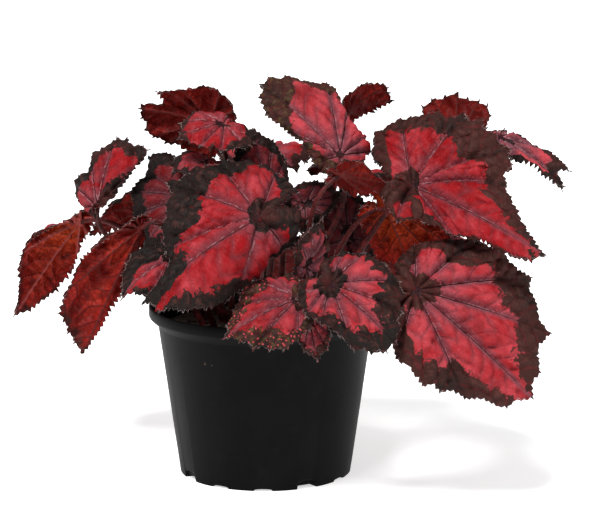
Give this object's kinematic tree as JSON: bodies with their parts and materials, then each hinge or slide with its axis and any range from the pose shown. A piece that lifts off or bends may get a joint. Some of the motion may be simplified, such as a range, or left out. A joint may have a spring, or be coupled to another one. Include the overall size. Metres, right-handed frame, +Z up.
{
  "type": "potted rex begonia",
  "caption": "Bushy rex begonia with large toothed red and dark leaves on long petioles, growing in a tapered round nursery pot.",
  "frame": {"origin": "middle of the pot's flat underside", "axes": "+Z up along the pot's axis, -Y towards the front that the picture shows, +X to its right"},
  "size_m": [0.3678, 0.3036, 0.2644],
  "materials": {
    "leaf": "satin",
    "pot": "satin",
    "soil": "matte"
  },
  "bodies": {
    "root": {"pot": "pot", "soil": "soil", "leaf_front_left": "leaf", "leaf_low_right": "leaf", "leaf_upper_right": "leaf", "leaf_top_upright": "leaf", "leaf_front_middle": "leaf", "leaf_front_lower": "leaf", "leaf_front_small": "leaf", "leaf_edge_on": "leaf", "leaf_right_underside": "leaf", "leaf_middle_underside": "leaf", "leaf_top_behind": "leaf", "leaf_upper_right_behind": "leaf", "leaf_far_right": "leaf", "leaf_upper_left": "leaf", "leaf_upper_left_inner": "leaf", "leaf_left_inner": "leaf", "leaf_left_raised": "leaf", "leaf_far_left": "leaf", "leaf_left_sloping": "leaf", "leaf_left_hanging": "leaf", "leaf_left_low": "leaf", "leaf_middle_left": "leaf", "leaf_middle_right": "leaf", "leaf_left_shaded": "leaf", "leaf_middle_shaded": "leaf", "leaf_back_right": "leaf", "leaf_back_middle": "leaf", "leaf_back_left": "leaf", "leaf_back_low_left": "leaf", "leaf_right_low": "leaf", "leaf_back_top": "leaf", "leaf_back_low_middle": "leaf", "leaf_back_low_right": "leaf", "leaf_right_middle": "leaf"}
  },
  "joints": []
}
